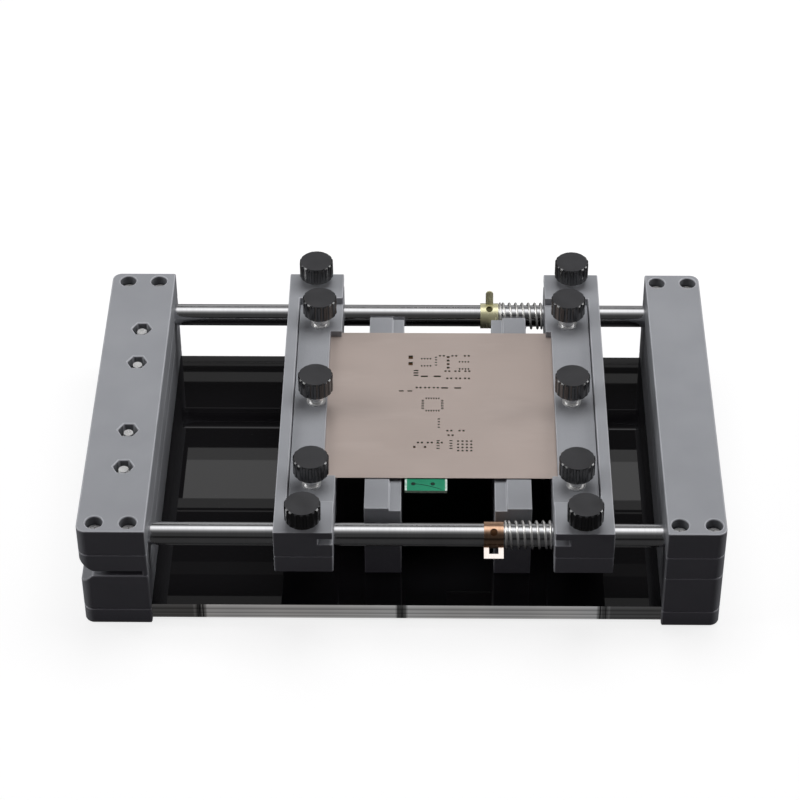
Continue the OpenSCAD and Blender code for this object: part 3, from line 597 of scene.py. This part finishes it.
# Dark metals for the sheets under the band holes: painted shade
hole_shade_finish = {
    "copper_band": metal("hole_shade_copper", (0.15, 0.07, 0.035), (0.06, 0.03, 0.015), 0.45),
    "zinc_band": metal("hole_shade_zinc", (0.16, 0.15, 0.08), (0.07, 0.065, 0.035), 0.45),
}


def dress_nodes():
    """Gives every solid its finish, and some walls their own: painted light on the plate's edge, painted
    shade in cap recesses.
    """
    for name, slot in frame_slot.items():
        mesh = nodes[name].data
        mesh.materials.clear()
        mesh.materials.append(finishes[slot])
    for name, finish in (("base_plate", edge_light_finish), ("circuit_board", rim_finish)):
        mesh = nodes[name].data
        mesh.materials.append(finish)
        for face in mesh.polygons:
            if abs(face.normal.z) < WALL_RISE:
                face.material_index = 1
    # Painted shade: the walls of the recesses in the top caps take a darker finish
    for name in ("left_top_cap", "right_top_cap"):
        mesh = nodes[name].data
        mesh.materials.append(recess_shade_finish)
        low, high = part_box(name)
        for face in mesh.polygons:
            ahead = face.center + face.normal * RECESS_LOOK
            inside = low.x < ahead.x < high.x and low.y < ahead.y < high.y
            if inside and abs(face.normal.z) < WALL_RISE:
                face.material_index = 1


def round_edges():
    """Small real roundings on the sharp edges of the plastic pieces, where light catches."""
    for name, solid in nodes.items():
        if frame_slot[name] not in ("grey_plastic", "black_acrylic"):
            continue
        width = next((w for start, w in EDGE_ROUND.items() if name.startswith(start)), OTHER_ROUND)
        weld = solid.modifiers.new("weld", "WELD")
        weld.merge_threshold = WELD
        flat = solid.modifiers.new("flat", "DECIMATE")
        flat.decimate_type = "DISSOLVE"
        flat.angle_limit = FLAT_ANGLE
        flat.delimit = {"MATERIAL"}
        bevel = solid.modifiers.new("round", "BEVEL")
        bevel.width = width * MM
        bevel.segments = ROUND_STEPS
        bevel.limit_method = "ANGLE"
        bevel.angle_limit = SHARP_ANGLE
        bevel.use_clamp_overlap = False
        bevel.loop_slide = False
        # The rounding of the grey plastic gets a paler finish: a painted highlight on the edges
        if frame_slot[name] == "grey_plastic":
            solid.data.materials.append(edge_highlight_finish)
            bevel.material = len(solid.data.materials) - 1
        normals = solid.modifiers.new("normals", "WEIGHTED_NORMAL")
        normals.weight = NORMAL_WEIGHT


def add_piece(name, mesh, finish, body):
    """A new mesh piece, at rest in the shared frame."""
    piece = bpy.data.objects.new(name, mesh)
    mesh.materials.append(finish)
    bpy.context.scene.collection.objects.link(piece)
    if body:
        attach(piece, body)
    return piece


def finished_mesh(name, bm):
    """Mesh of that name from a bmesh, which is freed."""
    mesh = bpy.data.meshes.new(name)
    bm.normal_update()
    bm.to_mesh(mesh)
    bm.free()
    return mesh


def tube_mesh(name, path, radius, sides):
    """Closed tube along a list of points."""
    bm = bmesh.new()
    rings = []
    side = Vector((0, 0, 1))
    for i, point in enumerate(path):
        along = (path[min(i + 1, len(path) - 1)] - path[max(i - 1, 0)]).normalized()
        side = (side - along * side.dot(along)).normalized()
        other = along.cross(side)
        turn = [2 * math.pi * k / sides for k in range(sides)]
        places = [point + (side * math.cos(a) + other * math.sin(a)) * radius for a in turn]
        rings.append([bm.verts.new(place) for place in places])
    for ring, following in zip(rings, rings[1:]):
        for k in range(sides):
            j = (k + 1) % sides
            bm.faces.new((ring[k], ring[j], following[j], following[k]))
    bm.faces.new(reversed(rings[0]))
    bm.faces.new(rings[-1])
    for face in bm.faces:
        face.smooth = len(face.verts) == 4
    return finished_mesh(name, bm)


def coil_share(t):
    """Share of the length used at a share t of the turns: the end coils lie close."""
    used = CLOSED_SHARE * CLOSED_PITCH
    if t < CLOSED_SHARE:
        return t * CLOSED_PITCH
    if t > 1 - CLOSED_SHARE:
        return 1 - (1 - t) * CLOSED_PITCH
    return used + (t - CLOSED_SHARE) / (1 - 2 * CLOSED_SHARE) * (1 - 2 * used)


def add_springs():
    """Round-wire springs between the band clamps and the right bar, in place of the springs of the solids,
    which are hidden.
    """
    for end in ("front", "rear"):
        low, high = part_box(f"{end}_spring")
        centre = (low + high) / 2
        radius = (high.z - low.z - SPRING_WIRE) / 2
        start, run = low.x + SPRING_WIRE / 2, high.x - low.x - SPRING_WIRE
        count = SPRING_TURNS * SPRING_STEPS
        path = []
        for i in range(count + 1):
            angle = 2 * math.pi * i / SPRING_STEPS
            path.append(Vector((start + run * coil_share(i / count),
                                centre.y + radius * math.cos(angle), centre.z + radius * math.sin(angle))))
        mesh = tube_mesh(f"{end}_coil", path, SPRING_WIRE / 2, SPRING_SIDES)
        coil = add_piece(f"{end}_coil", mesh, finishes["spring_steel"], None)
        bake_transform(coil)
        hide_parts(f"{end}_spring")


def hole_shade_mesh(name, centre, radius, lean):
    """Round patch bent about the rod: centre is on the rod's axis, lean is in radians."""
    bm = bmesh.new()

    def point(ring, k, r):
        out = HOLE_RADIUS * ring / SHADE_RINGS
        angle = 2 * math.pi * k / SHADE_SIDES
        turn = lean + out * math.sin(angle) / r
        offset = Vector((out * math.cos(angle), -r * math.sin(turn), r * math.cos(turn)))
        return bm.verts.new(centre + offset)

    rims = []
    for r in (radius, radius + SHADE_THICK):
        tip = point(0, 0, r)
        rings = [[point(ring, k, r) for k in range(SHADE_SIDES)] for ring in range(1, SHADE_RINGS + 1)]
        for k in range(SHADE_SIDES):
            j = (k + 1) % SHADE_SIDES
            bm.faces.new((tip, rings[0][k], rings[0][j]))
            for ring, following in zip(rings, rings[1:]):
                bm.faces.new((ring[k], following[k], following[j], ring[j]))
        rims.append(rings[-1])
    for k in range(SHADE_SIDES):
        j = (k + 1) % SHADE_SIDES
        bm.faces.new((rims[0][k], rims[0][j], rims[1][j], rims[1][k]))
    bmesh.ops.recalc_face_normals(bm, faces=bm.faces)
    return finished_mesh(name, bm)


def add_hole_shades():
    """A thin dark sheet under the hole of each band clamp: painted shade that keeps the hole dark."""
    for end, lean in HOLE_LEAN.items():
        low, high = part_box(f"{end}_band_clamp")
        rod = sum(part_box(f"{end}_rod"), Vector()) / 2
        centre = Vector(((low.x + high.x) / 2, rod.y, rod.z))
        slot = frame_slot[f"{end}_band_clamp"]
        mesh = hole_shade_mesh(f"{end}_band_hole_shade", centre, rod_radius + SHADE_GAP, math.radians(lean))
        add_piece(f"{end}_band_hole_shade", mesh, hole_shade_finish[slot], f"{end}_collar")


def plates_mesh(name, boxes, thickness):
    """Thin plates with sloped rims; boxes are (x0, y0, x1, y1, z)."""
    bm = bmesh.new()
    slope = thickness
    for x0, y0, x1, y1, z in boxes:
        lower = [(x0, y0), (x1, y0), (x1, y1), (x0, y1)]
        upper = [(x0 + slope, y0 + slope), (x1 - slope, y0 + slope), (x1 - slope, y1 - slope),
                 (x0 + slope, y1 - slope)]
        base = [bm.verts.new((x, y, z)) for x, y in lower]
        top = [bm.verts.new((x, y, z + thickness)) for x, y in upper]
        bm.faces.new(top)
        bm.faces.new(reversed(base))
        for k in range(4):
            j = (k + 1) % 4
            bm.faces.new((base[k], base[j], top[j], top[k]))
    return finished_mesh(name, bm)


def rings_mesh(name, places, radius, hole, thickness):
    """Flat rings about places."""
    bm = bmesh.new()
    turn = [2 * math.pi * k / RING_SIDES for k in range(RING_SIDES)]
    for place in places:
        loops = []
        for r, z in ((hole, 0), (radius, 0), (radius - thickness, thickness), (hole, thickness)):
            loops.append([bm.verts.new((place.x + r * math.cos(a), place.y + r * math.sin(a), place.z + z))
                          for a in turn])
        for ring, following in zip(loops, loops[1:] + loops[:1]):
            for k in range(RING_SIDES):
                j = (k + 1) % RING_SIDES
                bm.faces.new((ring[j], ring[k], following[k], following[j]))
    bmesh.ops.recalc_face_normals(bm, faces=bm.faces)
    return finished_mesh(name, bm)


def aperture_boxes():
    """Outlines of the small apertures of the stencil, from the walls of its solid."""
    bm = bmesh.new()
    bm.from_mesh(nodes["stencil"].data)
    bmesh.ops.remove_doubles(bm, verts=bm.verts, dist=WELD)
    walls = {face for face in bm.faces if abs(face.normal.z) < SHEET_WALL_RISE}
    boxes = []
    while walls:
        group, edge = set(), {walls.pop()}
        while edge:
            group |= edge
            edge = {f for face in edge for v in face.verts for f in v.link_faces if f in walls}
            walls -= edge
        xs = [v.co.x for face in group for v in face.verts]
        ys = [v.co.y for face in group for v in face.verts]
        box = (min(xs), min(ys), max(xs), max(ys))
        if box[2] - box[0] < APERTURE_MAX and box[3] - box[1] < APERTURE_MAX:
            boxes.append(box)
    bm.free()
    return sorted(boxes)


def tongue_box():
    """Outline of the narrow front part of the board, from the corners of its solid."""
    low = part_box("circuit_board")[0]
    points = [v.co for v in nodes["circuit_board"].data.vertices]
    front = [p for p in points if p.y < low.y + END_REACH]
    x0, x1 = min(p.x for p in front), max(p.x for p in front)
    wide = min(p.y for p in points if p.x < x0 - SHOULDER)
    return x0, low.y, x1, wide


def add_board_piece(name, mesh, finish):
    """A piece that moves with the board."""
    add_piece(name, mesh, finish, "board")


def add_board_detail():
    """Copper pads under the apertures with short tracks, and the border and marks of the tongue."""
    low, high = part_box("circuit_board")
    top = high.z
    middle = (low.x + high.x) / 2
    boxes = aperture_boxes()
    pads = [(*box, top) for box in boxes]
    tracks, ends = [], []
    for x0, y0, x1, y1 in boxes[::TRACK_EVERY]:
        x, y = (x0 + x1) / 2, (y0 + y1) / 2
        away = TRACK_RUN if x > middle - (high.x - low.x) / TRACK_PART else -TRACK_RUN
        tracks.append((min(x, x + away), y - TRACK / 2, max(x, x + away), y + TRACK / 2, top))
        ends.append(Vector((x + away, y, top)))
    add_board_piece("board_pads", plates_mesh("board_pads", pads, COPPER), pad_shade_finish)
    add_board_piece("board_tracks", plates_mesh("board_tracks", tracks, TRACK_THICK), pad_shade_finish)
    add_board_piece("board_vias", rings_mesh("board_vias", ends, VIA_RADIUS, VIA_HOLE, COPPER), pad_shade_finish)
    x0, y0, x1, y1 = tongue_box()
    sides = [(x0, y0, x0 + BORDER, y1, top), (x1 - BORDER, y0, x1, y1, top)]
    add_board_piece("tongue_border", plates_mesh("tongue_border", sides, COPPER), print_finish)
    run = x1 - x0
    holes = [Vector((x0 + run * share, y0 + TONGUE_HOLE_Y, top)) for share in TONGUE_HOLES]
    mesh = rings_mesh("tongue_holes", holes, TONGUE_RING, TONGUE_BORE, COPPER)
    add_board_piece("tongue_holes", mesh, mark_finish)
    end = Vector((x0 + run * TRACK_END, y0 + BORDER, top))
    bend = Vector((holes[0].x + run * TRACK_BEND, holes[0].y, top))
    shares = [i / TRACK_STEPS for i in range(TRACK_STEPS + 1)]
    path = [holes[0].lerp(bend, t).lerp(bend.lerp(end, t), t) for t in shares]
    add_board_piece("tongue_track", tube_mesh("tongue_track", path, TRACK / 2, TRACK_SIDES), mark_finish)


def add_threads():
    """Threads on the ends of the hinge screws that show in the left cap."""
    low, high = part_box("hinge_upper_screws")
    x = (low.x + high.x) / 2
    points = [v.co for v in nodes["hinge_upper_screws"].data.vertices if v.co.z > high.z - END_REACH]
    rows = sorted({round(p.y / MM / SCREW_ROW) for p in points})
    for i, row in enumerate(rows):
        tip = [p.y for p in points if round(p.y / MM / SCREW_ROW) == row]
        y = (min(tip) + max(tip)) / 2
        radius = (max(tip) - min(tip)) / 2
        path = []
        for k in range(THREAD_TURNS * THREAD_STEPS + 1):
            angle = 2 * math.pi * k / THREAD_STEPS
            z = high.z - THREAD_WIRE - THREAD_PITCH * k / THREAD_STEPS
            path.append(Vector((x + radius * math.cos(angle), y + radius * math.sin(angle), z)))
        mesh = tube_mesh(f"hinge_thread_{i}", path, THREAD_WIRE, THREAD_SIDES)
        add_piece(f"hinge_thread_{i}", mesh, finishes["bright_steel"], "upper_frame")


def stage_sheet(name, x0, x1, y0, y1, z):
    """Level rectangle of the studio, and the node tree of its empty material."""
    mesh = bpy.data.meshes.new(name)
    mesh.from_pydata([(x0, y0, z), (x1, y0, z), (x1, y1, z), (x0, y1, z)], [], [(0, 1, 2, 3)])
    material = bpy.data.materials.new(name)
    mesh.materials.append(material)
    sheet = bpy.data.objects.new(name, mesh)
    bpy.context.scene.collection.objects.link(sheet)
    return sheet, Nodes(material)


def stage_panel(name, x0, x1, y0, y1, strength):
    """Soft box that only mirrors show."""
    panel, tree = stage_sheet(name, x0, x1, y0, y1, PANEL_HEIGHT)
    tree.output("ShaderNodeOutputMaterial", tree.emission(strength))
    panel.visible_camera = False
    panel.visible_diffuse = False
    panel.visible_shadow = False


def make_floor():
    """Plain pale floor that keeps a soft shadow."""
    tree = stage_sheet("floor", -FLOOR_HALF, FLOOR_HALF, -FLOOR_HALF, FLOOR_HALF, -FLOOR_DROP)[1]
    views = []
    for strength, grey in zip((FLOOR_SEEN, FLOOR_MIRRORED), FLOOR_GREY):
        both = tree.node("ShaderNodeAddShader")
        tree.link(tree.emission(strength), both.inputs[0])
        tree.link(tree.diffuse(grey), both.inputs[1])
        views.append(both.outputs["Shader"])
    tree.output("ShaderNodeOutputMaterial", tree.by_ray(*views, tree.diffuse(FLOOR_BOUNCE)))


def make_world():
    """White behind the printer; mirrors see a dim studio, with soft light above and a pale wall behind."""
    world = bpy.data.worlds.new("world")
    tree = Nodes(world)
    split = tree.node("ShaderNodeSeparateXYZ")
    tree.link(tree.node("ShaderNodeTexCoord").outputs["Generated"], split.inputs["Vector"])
    arc = tree.math("ARCTAN2", split.outputs["Z"], tree.math("MULTIPLY", split.outputs["Y"], -1.0))
    share = tree.math("DIVIDE", arc, math.pi)
    arch = tree.ramp(share, [(degrees / 180, level / STUDIO_PEAK) for degrees, level in STUDIO_ARC])
    sides = tree.ramp(tree.math("ABSOLUTE", split.outputs["X"]), STUDIO_SIDES)
    studio = tree.background(STUDIO_PEAK)
    tree.link(tree.mix(1.0, arch, sides, "MULTIPLY"), studio.inputs["Color"])
    fill = tree.background(FILL_STRENGTH)
    fill.inputs["Color"].default_value = (*FILL_COLOUR, 1.0)
    views = [node.outputs["Background"] for node in (tree.background(1.0), studio, fill)]
    tree.output("ShaderNodeOutputWorld", tree.by_ray(*views))
    bpy.context.scene.world = world


def soft_box(name, place, width, depth, power):
    """Rectangular lamp that points at the printer."""
    data = bpy.data.lights.new(name, "AREA")
    data.shape = "RECTANGLE"
    data.size = width
    data.size_y = depth
    data.energy = power
    light = bpy.data.objects.new(name, data)
    light.location = place
    aim = Vector(KEY_TARGET) - Vector(place)
    light.rotation_euler = aim.to_track_quat("-Z", "Y").to_euler()
    bpy.context.scene.collection.objects.link(light)
    return light


def make_lights():
    """One large soft box above and a little behind, a weak one at each side, and the mirrored ones."""
    key = soft_box("key", KEY_PLACE, KEY_WIDTH, KEY_DEPTH, KEY_POWER)
    key.visible_glossy = False
    for i, (place, power) in enumerate(SIDES):
        soft_box(f"side_{i}", place, SIDE_SIZE, SIDE_SIZE, power)
    for i, panel in enumerate(PANELS):
        stage_panel(f"panel_{i}", *panel)


make_camera()
dress_nodes()
round_edges()
add_springs()
add_hole_shades()
add_board_detail()
add_threads()
make_floor()
make_world()
make_lights()
bpy.context.scene.view_settings.view_transform = "Standard"
